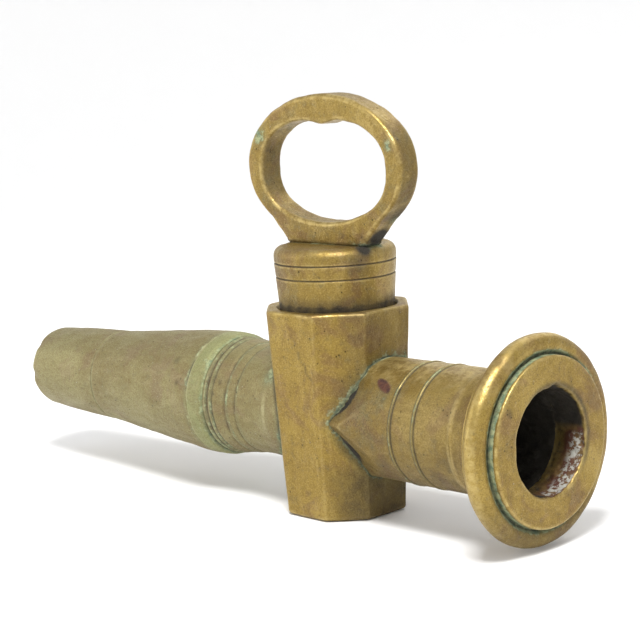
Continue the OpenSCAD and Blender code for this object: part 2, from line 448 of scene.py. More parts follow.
# %% Brass
GOLD = (0.300, 0.207, 0.047)
RUBBED = (0.49, 0.37, 0.14)
BROWN = (0.145, 0.082, 0.026)
KHAKI = (0.215, 0.190, 0.084)
ROSE = (0.18, 0.105, 0.052)
ASH = (0.12, 0.11, 0.065)
VERDIGRIS = (0.10, 0.17, 0.11)
CHALK = (0.34, 0.37, 0.20)
# Near-black, for dirt and pits, and also for painted shade.
DIRT_AND_SHADE = (0.012, 0.010, 0.007)
RUST = (0.085, 0.025, 0.018)
OXBLOOD = (0.035, 0.009, 0.006)
OXIDE = (0.085, 0.028, 0.012)
SCALE = (0.42, 0.41, 0.36)


def old_brass(name, khaki=0.3, brown=0.5, chalk=0.1, rough=0.45, shine=0.85, pits=0.5, clean=GOLD,
              bright=RUBBED, rose=ROSE, along=(0.3, 1, 1)):
    """Aged brass: khaki, brown and chalk say how much of the skin each of them covers."""
    finish = Finish(name)
    smear = finish.grain(2.4, detail=6, rough=0.62, warp=0.5, where=finish.stretched(along))
    cloud = finish.grain(24, detail=3, rough=0.5, warp=0.3)
    mottle = finish.grain(5, detail=7, rough=0.66, warp=0.5)
    patch = finish.grain(1.5, detail=5, rough=0.65)
    fine = finish.grain(0.4, detail=3, rough=0.6)
    wear_and_sheen, grime_and_shade = finish.stored("wear_and_sheen"), finish.stored("grime_and_shade")
    green, dark = finish.stored("green"), finish.stored("dark")
    scar, crust = finish.stored("scar"), finish.stored("crust")
    drawn = finish.stretched((1, 1, 9), (0.3, 0.9, 0.2))
    crossed = finish.stretched((8, 1, 1), (0.5, 0.2, 0.8))

    browned = (cloud * 0.5 + mottle * 0.3 + patch * 0.2).step(0.40, 0.64) * brown
    dulled = (cloud * 0.4 + mottle * 0.4 + patch * 0.2).step(0.60 - 0.3 * khaki, 0.72 - 0.2 * khaki)
    dulled = dulled * (0.35 + khaki * 0.6)
    colour = finish.mix(browned, clean, BROWN)
    colour = finish.mix(dulled, colour, KHAKI)
    blush = finish.grain(13, detail=6, rough=0.62, warp=0.9)
    colour = finish.mix(blush.step(0.50, 0.62) * 0.55, colour, rose)
    colour = finish.mix(blush.step(0.48, 0.38) * 0.55, colour, clean)
    colour = finish.mix(cloud.step(0.48, 0.34) * 0.22, colour, bright)
    colour = finish.mix(smear.step(0.50, 0.66) * 0.14, colour, BROWN)
    colour = finish.mix(smear.step(0.48, 0.34) * 0.14, colour, bright)
    colour = finish.mix(patch.step(0.53, 0.70) * 0.28, colour, ASH)
    colour = finish.mix(fine.step(0.50, 0.66) * 0.42, colour, BROWN)
    colour = finish.mix(fine.step(0.46, 0.34) * 0.25, colour, bright)

    hair = (finish.grain(3.0, detail=1, where=drawn) - 0.5).size().step(0.006, 0.001)
    cross_hair = (finish.grain(4.0, detail=1, where=crossed) - 0.5).size().step(0.005, 0.001)
    scratch = (hair * mottle.step(0.5, 0.6)).most(cross_hair * mottle.step(0.5, 0.42))
    colour = finish.mix(scratch * 0.4, colour, bright)

    dots = finish.cells(1.9).step(0.18, 0.07) * mottle.step(0.50, 0.58)
    pocks = finish.cells(0.9).step(0.26, 0.10) * cloud.step(0.52, 0.62)
    pit = (dots.most(pocks * 0.6) * pits).least(1.0)
    colour = finish.mix(pit * 0.8, colour, DIRT_AND_SHADE)

    dust = mottle * 0.4 + patch * 0.3 + fine * 0.3
    dust = dust.step(0.62 - 0.2 * chalk, 0.72 - 0.12 * chalk) * chalk
    colour = finish.mix(dust, colour, CHALK)
    chips = 0.2 * chalk
    speck = finish.cells(1.3).step(0.10 + chips, 0.05) * patch.step(0.62 - chips, 0.67 - chips) * 0.7
    colour = finish.mix(speck, colour, SCALE)

    # The worn mark is rubbed wear, and on the outlet neck also a painted highlight; both brighten the
    # metal here.
    rub_and_sheen = (wear_and_sheen * (0.12 + (mottle * 0.5 + patch * 0.5).step(0.42, 0.60) * 0.75)).least(0.9)
    colour = finish.mix(rub_and_sheen, colour, bright)

    salt = (green + (mottle - 0.5) * 2.2 + (patch - 0.5) * 1.6).step(0.42, 0.80) * green.step(0.03, 0.25)
    salt_colour = finish.mix(patch.step(0.38, 0.62), VERDIGRIS, CHALK)
    colour = finish.mix(green.least(1.0) * 0.35, colour, VERDIGRIS)
    colour = finish.mix(salt * 0.85, colour, salt_colour)

    # The grime mark is dirt in hollows and joints, and in places painted shade; both darken towards
    # near-black here.
    dirt_and_shade = (grime_and_shade * (0.35 + mottle * 0.9)).least(0.95)
    colour = finish.mix(dirt_and_shade, colour, DIRT_AND_SHADE)
    # Painted shade: the dark mark blackens bore interiors and crevices, where only shade falls.
    painted_shade = dark.least(0.97)
    colour = finish.mix(painted_shade, colour, DIRT_AND_SHADE)
    scab = finish.mix(patch.step(0.4, 0.6), OXBLOOD, OXIDE)
    colour = finish.mix(scar, colour, scab)
    silver = patch.step(0.46, 0.56) * crust.step(0.4, 0.9)
    rusty = finish.mix(mottle.step(0.42, 0.58), RUST, BROWN)
    colour = finish.mix(crust.step(0.0, 0.4) * 0.9, colour, rusty)
    colour = finish.mix(silver, colour, SCALE)

    cover = salt.most(dirt_and_shade).most(painted_shade).most(scar).most(crust)
    metal = (shine - dulled * 0.3 - dust * 0.5 - speck) * (1 - cover * 0.95)
    gloss = rough + dulled * 0.12 + browned * 0.06 + (fine - 0.5) * 0.5 + (smear - 0.5) * 0.4
    gloss = gloss + pit * 0.2 - rub_and_sheen * 0.12
    gloss = gloss + cover * 0.35 - silver * 0.4
    height = fine * 0.45 + patch * 0.6 + smear * 0.15 + salt * patch * 0.8
    height = height - pit * 0.9 - scratch * 0.35 + scar * fine + crust * patch * 2.5
    return finish.done(base_color=colour, metallic=metal, roughness=gloss,
                       normal=finish.bump(height, 0.13))


UPRIGHT = (1, 1, 0.3)
OLIVE = (0.235, 0.205, 0.088)
PALE = (0.36, 0.33, 0.165)
PINK = (0.205, 0.145, 0.080)
MOSS = (0.27, 0.275, 0.115)
DEEP = (0.262, 0.182, 0.045)
cast_brass = old_brass("cast_brass", khaki=0.22, brown=0.4, pits=0.8, along=UPRIGHT)
key_brass = old_brass("key_brass", khaki=0.4, brown=0.5, pits=1.0, clean=DEEP, along=UPRIGHT)
flange_brass = old_brass("flange_brass", khaki=0.25, brown=0.55, pits=0.8, along=(1, 1, 1))
tail_brass = old_brass("tail_brass", khaki=0.5, brown=0.75, pits=0.9, clean=DEEP)
dull_brass = old_brass("dull_brass", khaki=0.4, brown=0.5, chalk=0.35, rough=0.52, shine=0.65, pits=0.9,
                       clean=OLIVE, bright=PALE, rose=PINK)
ferrule_brass = old_brass("ferrule_brass", khaki=0.2, brown=0.1, chalk=0.4, rough=0.6, shine=0.5,
                          clean=MOSS, bright=PALE, rose=OLIVE)

# %% [markdown]
# Two washers are leather, soaked in tallow so that they swell and seal. They are hidden once the
# nozzle is screwed together, but they are still there when it is opened.

# %% Leather


def greased_leather(name):
    """Dark leather with a fine grain and a greasy shine."""
    finish = Finish(name)
    hide = finish.cells(0.7)
    cloud = finish.grain(5, detail=4)
    colour = finish.mix(cloud.step(0.35, 0.65), (0.10, 0.05, 0.025), (0.20, 0.11, 0.06))
    return finish.done(base_color=colour, roughness=0.45 + cloud * 0.3,
                       normal=finish.bump(hide, 0.12))


leather = greased_leather("greased_leather")

# %% [markdown]
# The barrel is an octagon outside and a taper inside. Turning it first and then pushing the outside
# out to the octagon keeps one clean grid of points from the foot, over the rim and down the bore.
# The points crowd towards the corners, which lets the corners be properly rounded.

# %% Barrel
TAIL_R, ROOT_END = 16.6, 24.8
FLAT_TILTS = [math.radians(a) for a in (36, 144, 216, 324)]
plug_top_r = 16.0
TAPER = math.tan(math.radians(4.5))
flats_top = reach("cock_barrel", "y")[1]
flats_foot = 15.7
DIAGONAL_OUT = 0.6
RECESS_R, SHOULDER_Z = 13.4, -21.0
FACE_TURN = math.radians(45)
FLAT_SLOPE = 0.273
PORT = (15, 20, 60)


def plug_r(z):
    """Radius of the plug's taper at a height."""
    return plug_top_r - (rim_z - z) * TAPER


def flats_r(z):
    """Half the width across the barrel's flats at a height."""
    return flats_foot + (z - foot_z) / (rim_z - foot_z) * (flats_top - flats_foot)


def to_octagon(bm, crowd=0.72):
    """Pushes the outside of a turned barrel out to eight flats, with corners of uneven softness."""
    for v in bm.verts:
        r, turn, z = math.hypot(v.co.x, v.co.y), math.atan2(v.co.y, v.co.x), v.co.z
        turn += crowd / 8 * math.sin(8 * turn)
        main = flats_r(z)
        crisp = 70 + 130 * smooth_step(0.3, 0.9, math.cos(turn))
        total = 0
        for i in range(8):
            slant = math.cos(turn - FACE_TURN * i)
            if slant > 0.5:
                total += (slant * main / (main + DIAGONAL_OUT * (i % 2))) ** crisp
        full = total ** (-1 / crisp)
        inner = plug_r(z) if z > SHOULDER_Z - 0.1 else RECESS_R
        share = min(1, max(0, (r - inner) / (main - inner)))
        r *= 1 + (full - 1) * share
        v.co.x, v.co.y = r * math.cos(turn), r * math.sin(turn)


def bored_through(bm, width, height, length):
    """Cuts the round-ended port through a bmesh with a Boolean and returns the result."""
    cutter = bmesh.new()
    end = (height - width) / 2
    bmesh.ops.create_circle(cutter, cap_ends=True, segments=48, radius=width / 2)
    bmesh.ops.rotate(cutter, verts=cutter.verts, matrix=Matrix.Rotation(math.radians(90), 3, "Y"))
    for v in cutter.verts:
        v.co.z += end if v.co.z > 0 else -end
        v.co.x = -length / 2
    pushed = bmesh.ops.extrude_face_region(cutter, geom=cutter.faces[:])
    bmesh.ops.translate(cutter, vec=(length, 0, 0),
                        verts=[g for g in pushed["geom"] if isinstance(g, bmesh.types.BMVert)])
    bmesh.ops.recalc_face_normals(cutter, faces=cutter.faces)
    objects = []
    for source, label in ((bm, "work"), (cutter, "cutter")):
        mesh = bpy.data.meshes.new(label)
        source.to_mesh(mesh)
        source.free()
        objects.append(bpy.data.objects.new(label, mesh))
        bpy.context.collection.objects.link(objects[-1])
    work, tool = objects
    boolean = work.modifiers.new("port", "BOOLEAN")
    boolean.operation, boolean.object, boolean.solver = "DIFFERENCE", tool, "EXACT"
    result = bmesh.new()
    result.from_object(work, bpy.context.evaluated_depsgraph_get())
    for thing in objects:
        mesh = thing.data
        bpy.data.objects.remove(thing)
        bpy.data.meshes.remove(mesh)
    return result


def near(point, centre, size):
    """1 at a centre, falling to 0 at a distance, both in millimetres."""
    return smooth_step(size, 0, (Vector(point) - Vector(centre)).length)


bm = turned([(foot_z, flats_foot, 1.3), (rim_z, flats_top, 0.8), (rim_z, plug_top_r + 0.8, 0.3),
             (rim_z - 1.6, plug_r(rim_z - 1.6) + 0.06, 0.4), (SHOULDER_Z, plug_r(SHOULDER_Z), 0.2),
             (SHOULDER_Z, RECESS_R, 0.3), (foot_z, RECESS_R, 0.4)], upright=True)
to_octagon(bm)
bm = bored_through(bm, *PORT)
swell(bm, 0.10, 9, 1)
for v in bm.verts:
    v.co.z = max(v.co.z, foot_z)
mark_bends(bm)


def off_axis(co):
    """A point's distance from the waterway's axis."""
    return math.hypot(co.y, co.z)


def root_limits(turn, flat):
    """The radius at which each filed flat of the tail's root is met, in a direction round it."""
    return [flat / math.cos(turn - t) for t in FLAT_TILTS if math.cos(turn - t) > 0.3]


def root_flat(u):
    """Half the width across the flats filed on the tail's root at a station."""
    return TAIL_R - (ROOT_END - u) * FLAT_SLOPE


def root_r(co):
    """Radius of the filed root of the inlet tail where it meets the barrel."""
    flat = root_flat(min(ROOT_END, abs(co.x)))
    return min([TAIL_R] + root_limits(math.atan2(co.z, co.y), flat))


def joint_line(co, wide):
    """1 on the barrel where the tail meets it, falling off over a width."""
    return smooth_step(wide, 0.1, abs(off_axis(co) - root_r(co))) if co.x > 7 else 0


def crack(co):
    """1 on the wandering hairline on the barrel's front."""
    line = 2.0 + (19.7 - co.z) * 0.58 + 0.4 * math.sin(co.z * 1.7)
    ends = smooth_step(10.5, 12.5, co.z) * smooth_step(20.5, 19, co.z)
    return smooth_step(0.6, 0.1, abs(co.x - line)) * ends if co.y < -15 else 0


mark(bm, "green", lambda co: 0.95 * joint_line(co, 1.2))
mark(bm, "green", lambda co: 0.42 * joint_line(co, 3.6))
mark(bm, "grime_and_shade", lambda co: 0.42 * joint_line(co, 7) * smooth_step(2, 14, co.z))
# Painted shade under the joint, where the tail's shadow falls on the barrel.
mark(bm, "grime_and_shade", lambda co: 0.75 * joint_line(co, 3.2) * smooth_step(-2, -8, co.z))
mark(bm, "green", lambda co: smooth_step(2.5, 0.3, abs(off_axis(co) - 16.4)) * 0.6 if co.x < -8 else 0)
mark(bm, "grime_and_shade", lambda co: 0.9 * joint_line(co, 0.6))
mark(bm, "grime_and_shade", lambda co: 0.9 * near(co, (16.8, -8.7, 12.2), 1.5))
# Painted shade: the lower part of the barrel's hose side, under the tail.
mark(bm, "grime_and_shade", lambda co: 0.75 * smooth_step(6, 15, co.x) * smooth_step(-9, -17, co.z))
# Painted shade: the barrel's upper side towards the hose is darkened.
mark(bm, "grime_and_shade", lambda co: 0.35 * smooth_step(12, 18, co.x) * smooth_step(12, 17, co.z))
mark(bm, "grime_and_shade", lambda co: smooth_step(1.0, 0.2, rim_z - co.z)
     * smooth_step(17.2, 16.2, math.hypot(co.x, co.y)))
mark(bm, "grime_and_shade", lambda co: 0.5 * crack(co))
finish_piece(bm, "barrel", "nozzle", "cast_brass", cast_brass, "cock_barrel")

# %% [markdown]
# The inlet tail was turned too, then four flats were filed at its root so that it would sit against
# the diagonal faces of the barrel. They leave the pointed shape at the joint. Two raised rings are
# what is left of the turner's decoration.

# %% Inlet tail
WATERWAY_R, HOSE_R = 10.5, 14.0


def octagon_x(y, z):
    """How far out the barrel's faces stand towards the hose, at a place on the joint."""
    flat = flats_r(z)
    return min(flat, (flat + DIAGONAL_OUT) * math.sqrt(2) - abs(y))


def file_flats(bm):
    """Takes the four sloping flats off the root of the tail, with slightly softened edges."""
    for v in bm.verts:
        r = off_axis(v.co)
        if v.co.x > 32 or r < 12:
            continue
        limits = [r] + root_limits(math.atan2(v.co.z, v.co.y), root_flat(v.co.x))
        lowest = sum((r / limit) ** 160 for limit in limits) ** (-1 / 160) * r
        v.co.y *= lowest / r
        v.co.z *= lowest / r


def sit_on_barrel(bm, side):
    """Trims the end that meets the barrel, a little inside its faces. side is 1 or -1."""
    for v in bm.verts:
        v.co.x = side * max(side * v.co.x, octagon_x(v.co.y, v.co.z) - 0.6)
    bmesh.ops.remove_doubles(bm, verts=bm.verts, dist=0.001)


def crusted(bm, limit, amount, size, seed):
    """Roughens the inside of a bore with a coarse noise."""
    away = Vector((seed, seed, seed))
    for v in bm.verts:
        r = off_axis(v.co)
        if r < limit:
            k = 1 - amount * max(0, noise.fractal(v.co / size + away, 0.8, 2.1, 4) + 0.15) / r
            v.co.y *= k
            v.co.z *= k


bm = turned([(7, TAIL_R), (32.9, TAIL_R, 0.2), (33.3, 16.92, 0.15), (33.75, 16.45, 0.15),
             (34.2, TAIL_R, 0.3), (41.0, TAIL_R, 0.2), (41.4, 16.9, 0.15), (41.85, 16.45, 0.15),
             (42.3, TAIL_R, 0.3),
             (54, TAIL_R), (54, 15.55), (64, 15.55), (64, HOSE_R), (34, HOSE_R), (34, WATERWAY_R),
             (7, WATERWAY_R)])
file_flats(bm)
swell(bm, 0.12, 8, 2)
sit_on_barrel(bm, 1)
crusted(bm, 14.6, 0.8, 4, 3)
mark_bends(bm)


def ridge(co, u, wide):
    """1 on a line round a turned piece at a station, falling off over a width."""
    return smooth_step(wide, 0.1, abs(co.x - u))


mark(bm, "green", lambda co: 0.55 * max(ridge(co, 33.1, 0.9), ridge(co, 41.2, 0.9))
     if off_axis(co) > 15.8 else 0)
mark(bm, "green", lambda co: 0.8 * smooth_step(1.3, 0.1, co.x - octagon_x(co.y, co.z))
     * smooth_step(-5, 6, co.z))
mark(bm, "green", lambda co: 0.45 * near(co, (29.6, -14.2, 8.5), 3.4))
mark(bm, "grime_and_shade", lambda co: 0.5 * max(ridge(co, 34.1, 0.6), ridge(co, 42.2, 0.6))
     if off_axis(co) > 15.8 else 0)
mark(bm, "grime_and_shade", lambda co: 0.9 * smooth_step(0.9, 0.1, co.x - octagon_x(co.y, co.z)))
mark(bm, "grime_and_shade", lambda co: 0.5 * near(co, (29.6, -14.2, 8.5), 2.6))
# Painted shade under the tail's root, beside the barrel.
mark(bm, "grime_and_shade", lambda co: 0.55 * smooth_step(2, -14, co.z) * smooth_step(22, 12, co.x))
# Painted shade: darker below the tail's top, and darker again underneath.
mark(bm, "grime_and_shade", lambda co: 0.26 * smooth_step(13, 8, co.z) + 0.16 * smooth_step(-4, -15, co.z))
mark(bm, "wear_and_sheen", lambda co: 0.9 * smooth_step(11.5, 15, co.z))
# Painted shade where the tail runs into the hollow behind the flange.
mark(bm, "grime_and_shade", lambda co: 0.35 * smooth_step(51.5, 53.5, co.x))
# Painted shade: the bore is painted black.
mark(bm, "dark", lambda co: smooth_step(14.9, 14.4, off_axis(co)))
SCAR_ENDS = (Vector((25.0, -10.6, 12.8)), Vector((30.4, -12.7, 10.6)))
mark(bm, "scar", lambda co: smooth_step(7.3, 6.5, sum((co - end).length for end in SCAR_ENDS)))
finish_piece(bm, "inlet_tail", "nozzle", "cast_brass", tail_brass, "inlet_tail")

# %% [markdown]
# The flange is a plain bead with a hollow behind it, so that the hose binding or a union nut has
# something to pull on. In front of it stands the raised ring of the mouth. Water always stood in
# the groove between the two, and it has gone green.

# %% Inlet flange


def arc(centre_u, centre_r, size, start, end, count):
    """Points (station, radius) along an arc. Angles are in degrees from the radius towards the hose."""
    turns = [math.radians(start + (end - start) * i / count) for i in range(count + 1)]
    return [(centre_u + size * math.sin(a), centre_r + size * math.cos(a)) for a in turns]


flange_start, flange_face = reach("inlet_flange")[0], reach("mouth_bush")[1] - 2.6
flange_r = radius("inlet_flange")
BEAD_R, COVE_R = 3.0, 12.0
bead_u, bead_c = flange_face - 2.2, flange_r - BEAD_R
bm = turned([(flange_start, 15.6)] + arc(flange_start, TAIL_R + COVE_R, COVE_R, 180, 108, 24)
            + arc(bead_u, bead_c, BEAD_R - 0.02, -80, 112, 32)
            + [(flange_face - 0.2, 22.5, 0.3), (flange_face - 0.2, 15.6)])
swell(bm, 0.14, 10, 3)
for v in bm.verts:
    nick = near(v.co, (69.5, -14.5, 22.8), 2.2) + near(v.co, (70.5, -25.9, 7.0), 1.6)
    v.co -= v.normal * 0.35 * nick
mark_bends(bm)
mark(bm, "green", lambda co: smooth_step(1.6, 0.2, abs(off_axis(co) - 22.6))
     if co.x > flange_face - 1.2 else 0)
mark(bm, "grime_and_shade", lambda co: 0.6 * smooth_step(23.6, 22.6, off_axis(co))
     if co.x > flange_face - 1.2 else 0)
mark(bm, "wear_and_sheen", lambda co: 0.9 * smooth_step(26.2, 27.2, off_axis(co)) * smooth_step(67.0, 69.5, co.x))
mark(bm, "wear_and_sheen", lambda co: 0.8 * near(co, (70.3, -20.5, 16.5), 5) + 0.8 * near(co, (70.5, -14, 22), 5))
# Painted shade in the hollow behind the bead, which faces away from the light.
mark(bm, "grime_and_shade", lambda co: 0.35 * smooth_step(3.5, 0.5, abs(co.x - flange_start - 2)))
# Painted shade: the back of the flange, towards the hollow, is darker.
mark(bm, "grime_and_shade", lambda co: 0.24 * smooth_step(67, 64, co.x))
# Painted shade: the lower front of the flange is darker.
mark(bm, "grime_and_shade", lambda co: 0.5 * smooth_step(-6, -24, co.z) * smooth_step(66, 70, co.x))
finish_piece(bm, "inlet_flange", "nozzle", "cast_brass", flange_brass, "inlet_flange")

# %% [markdown]
# The mouth is a bush pressed into the flange. A century of hard water has eaten its bore: the edge is
# not round any more. Behind it the wall is painted black as shade, but where the light reaches it shows
# a crust with purple and silver patches.

# %% Mouth bush
bush_r = radius("mouth_bush")
bm = turned([(64, 15.55), (flange_face, 15.55), (flange_face, bush_r), (mouth, bush_r, 0.7),
             (mouth, HOSE_R, 0.9), (64, HOSE_R)])
away = Vector((4, 9, 2))
for v in bm.verts:
    r = off_axis(v.co)
    edge = smooth_step(16.0, 14.6, r)
    wave = noise.fractal(Vector((v.co.y, v.co.z, v.co.x * 0.5)) / 5 + away, 0.9, 2.1, 4)
    notch = near(v.co, (mouth, 2.2, 14.2), 2.6)
    k = 1 + edge * (0.28 * wave - 0.15 * smooth_step(0, 14, v.co.y) + 0.8 * notch) / r
    v.co.y *= k
    v.co.z *= k
swell(bm, 0.07, 4, 4)
for v in bm.verts:
    if off_axis(v.co) < 14.4 and v.co.x < mouth - 0.4:
        v.co -= v.normal * 0.5 * max(0, noise.fractal(v.co / 1.6 + away, 0.8, 2.1, 3))
    v.co.x = min(v.co.x, mouth)
mark_bends(bm)
mark(bm, "green", lambda co: smooth_step(mouth - 0.6, mouth - 1.1, co.x) if off_axis(co) > 21 else 0)
mark(bm, "grime_and_shade", lambda co: 0.6 * smooth_step(mouth - 1.6, mouth - 2.3, co.x)
     if off_axis(co) > 21 else 0)
mark(bm, "grime_and_shade", lambda co: 0.55 * near(co, (mouth, -16.2, 10.4), 1.8))
mark(bm, "grime_and_shade", lambda co: 0.8 * smooth_step(1.2, 0.1, abs(off_axis(co) - 14.7))
     * smooth_step(-2, 10, co.y + co.z))


def low_right(co):
    """1 on the part of the bore that the light reaches, where the hard scale is."""
    return smooth_step(11, 16, co.y - co.z) if off_axis(co) < 15.0 else 0


# Painted shadow: the bore behind the edge is painted black, except the part that the light reaches.
mark(bm, "dark", lambda co: smooth_step(mouth - 0.5, mouth - 1.3, co.x)
     * smooth_step(15.2, 14.7, off_axis(co)) * (1 - 0.8 * low_right(co)))
mark(bm, "crust", lambda co: low_right(co) * smooth_step(mouth - 0.4, mouth - 1.2, co.x)
     * smooth_step(mouth - 9, mouth - 2.5, co.x))
finish_piece(bm, "mouth_bush", "nozzle", "cast_brass", flange_brass, "mouth_bush")

# %% [markdown]
# On the outlet side everything is duller: this end was never polished, and the branch could be
# unscrewed from the ferrule to change it. What is left of the thread shows as three worn lines.

# %% Outlet neck
bm = turned([(-54, 14.7), (-40.1, 14.7), (-40.1, 17.1, 0.3), (-39.2, 17.2, 0.3), (-38.4, 16.75, 0.3),
             (-37.4, 17.05, 0.3), (-36.6, 16.6, 0.3), (-35.6, 16.7, 0.3), (-32.4, 16.3, 0.3),
             (-31.6, 16.0, 0.3), (-30.8, 16.15, 0.3), (-28.6, 15.8, 0.3), (-27.9, 15.55, 0.3),
             (-27.0, 15.7, 0.3), (-22, 15.65), (-18, 15.8, 3), (-13, 16.6), (-7, 16.6), (-7, 11.5),
             (-54, 11.5)])
for v in bm.verts:
    turn = math.atan2(v.co.z, v.co.y)
    v.co.x += (0.35 * math.sin(turn + 0.6) + 0.2 * math.sin(3 * turn)) * smooth_step(-39, -33, v.co.x)
swell(bm, 0.16, 6, 5)
sit_on_barrel(bm, -1)
mark_bends(bm)
mark(bm, "green", lambda co: 0.6 * max(ridge(co, -38.9, 0.8), ridge(co, -37.0, 0.8),
                                       ridge(co, -30.8, 0.7), 0.7 * ridge(co, -27.2, 0.7)))
mark(bm, "green", lambda co: 0.8 * near(co, (-15.5, -13.4, 10.4), 5.0))
mark(bm, "green", lambda co: 0.8 * smooth_step(3.0, 0.3, -co.x - octagon_x(co.y, co.z))
     * smooth_step(4, -8, co.z))
mark(bm, "grime_and_shade", lambda co: 0.55 * ridge(co, -38.4, 0.5) * smooth_step(4, -8, co.z))
mark(bm, "grime_and_shade", lambda co: 0.8 * max(near(co, (-36.2, -16.4, 3.5), 1.0),
                                       near(co, (-36.4, -14.5, 8.0), 1.2),
                                       near(co, (-34.2, -15.0, 6.6), 1.0)))
mark(bm, "grime_and_shade", lambda co: 0.6 * smooth_step(-9, -15, co.z) * smooth_step(-24, -14, co.x))
# Painted highlight: a pale crescent on the front of the flare by the barrel, stored as wear.
mark(bm, "wear_and_sheen", lambda co: 1.2 * smooth_step(1.2, 0.2, abs(co.x + 15.4 - 0.03 * co.z * co.z * 0.2))
     * smooth_step(-9, 0, co.z) * smooth_step(9, 2, co.z) if co.y < 0 else 0)
mark(bm, "grime_and_shade", lambda co: 0.75 * smooth_step(1.4, 0.2, -co.x - octagon_x(co.y, co.z)))
finish_piece(bm, "outlet_neck", "nozzle", "dull_brass", dull_brass, "outlet_neck")

# %% [markdown]
# The ferrule is the rounded band where the thread begins. The branch behind it was rolled and laps
# over the ferrule's shoulder, with a line of solder between them that has turned pale green.

# %% Branch
ferrule_r = radius("branch_ferrule")
bm = turned([(-58, 16.15), (-46.15, 16.15), (-46.15, ferrule_r, 0.3), (-44.5, ferrule_r, 0.5),
             (-42.0, 18.0, 1.0), (-40.2, 17.2, 0.7), (-40.0, 14.8), (-55.5, 14.8), (-55.5, 11.5),
             (-58, 11.5)])
swell(bm, 0.14, 7, 6)
mark_bends(bm)
mark(bm, "green", lambda co: 0.22 + 0.4 * smooth_step(-41.6, -40.4, co.x) if off_axis(co) > 16.8 else 0)
mark(bm, "grime_and_shade", lambda co: 0.6 * smooth_step(-41.2, -40.4, co.x) * smooth_step(4, -10, co.z))
finish_piece(bm, "branch_ferrule", "nozzle", "dull_brass", ferrule_brass, "branch_ferrule")

bm = turned([(-46.0, 16.2), (-46.0, ferrule_r, 0.35), (-51, 18.15, 4), (-60, 17.4, 8), (-74, 16.15, 8),
             (-90, 14.75, 4), (-97, 14.2, 0.3), (-97, 12.2), (-84.5, 12.2), (-84.5, 10.5), (-58, 12),
             (-58, 16.2)])
swell(bm, 0.22, 14, 7)
swell(bm, 0.06, 3, 8)
mark_bends(bm)
mark(bm, "green", lambda co: 0.4 * smooth_step(1.6, 0.3, abs(co.x + 46.6)))
mark(bm, "grime_and_shade", lambda co: 0.8 * smooth_step(0.7, 0.1, abs(co.x + 46.2)) * smooth_step(3, 8, co.z)
     * smooth_step(14, 10, co.z))
mark(bm, "grime_and_shade", lambda co: 0.6 * near(co, (-53.8, -13.9, 10.9), 2)
     + 0.6 * near(co, (-51, -16.9, 5.1), 1.6))
mark(bm, "grime_and_shade", lambda co: 0.35 * smooth_step(0.6, 0.1, abs(co.x + 97)))
finish_piece(bm, "branch_cone", "nozzle", "dull_brass", dull_brass, "branch_cone")

# %% [markdown]
# The jet tip screws into the branch against a leather washer. Its end is knocked about, as the end
# of any branch is that has been dropped on a paved yard.

# %% Jet tip
jet_r = 8.0
bm = turned([(-97.1, 14.15, 0.3), (-106, 13.95, 6), (-118, 13.4, 6), (jet, 12.5, 1.3), (jet, jet_r, 0.7),
             (-116.6, jet_r), (-86, 9.6), (-86, 12.15), (-97.1, 12.15)])
swell(bm, 0.14, 8, 9)
for v in bm.verts:
    dent = near(v.co, (jet + 1, -12.2, -0.6), 2.4) + 0.6 * near(v.co, (jet + 1, -9, 8), 2)
    v.co -= v.normal * 0.5 * dent
    v.co.x = max(v.co.x, jet)
mark_bends(bm)
mark(bm, "grime_and_shade", lambda co: 0.4 * smooth_step(0.8, 0.1, abs(co.x + 97)))
# Painted shade: the jet's bore is painted black from a little way inside the end.
mark(bm, "dark", lambda co: smooth_step(jet + 1.0, jet + 2.5, co.x)
     * smooth_step(9.9, 9.4, off_axis(co)))
finish_piece(bm, "jet_tip", "nozzle", "dull_brass", dull_brass, "jet_tip")

# %% [markdown]
# The plug is the moving part: a taper ground into the barrel, with a port that lines up with the
# waterway when the ring stands along it. Two fine grooves decorate its head.

# %% Plug
head_z = reach("plug", "z")[1]
GAP = 0.05
GROOVES = (38.5, 42.4)
lines = []
for z in GROOVES:
    lines += [(z - 0.35, plug_r(z) - GAP, 0.1), (z, plug_r(z) - 0.3, 0.1),
              (z + 0.35, plug_r(z) - GAP, 0.1)]
bm = turned([(-20.4, 0), (-20.4, plug_r(-20.4) - GAP, 0.4)] + lines
            + [(head_z - 0.1, plug_r(head_z) - 0.4, 2.6), (head_z, 0)], upright=True, closed=False)
bm = bored_through(bm, *PORT)
for v in bm.verts:
    v.co.z = min(v.co.z, head_z)
    v.co.z -= 0.5 * near(v.co, (-14.5, -6, head_z), 2.2)
made = bmesh.ops.create_cube(bm, size=8)
bmesh.ops.scale(bm, vec=(1, 1, 0.35), verts=made["verts"])
bmesh.ops.translate(bm, vec=(0, 0, -21.7), verts=made["verts"])
made = bmesh.ops.create_cone(bm, cap_ends=True, segments=48, radius1=3.4, radius2=4, depth=4.5)
bmesh.ops.translate(bm, vec=(0, 0, -25.2), verts=made["verts"])
mark_bends(bm)
mark(bm, "grime_and_shade", lambda co: 1.2 * smooth_step(rim_z + 2.6, rim_z + 0.6,
                                               co.z + 0.7 * noise.noise(co * 0.5)))
mark(bm, "grime_and_shade", lambda co: 0.6 * smooth_step(rim_z + 5, rim_z + 1.0, co.z))
mark(bm, "grime_and_shade", lambda co: 0.55 * max(smooth_step(0.4, 0.1, abs(co.z - z)) for z in GROOVES))
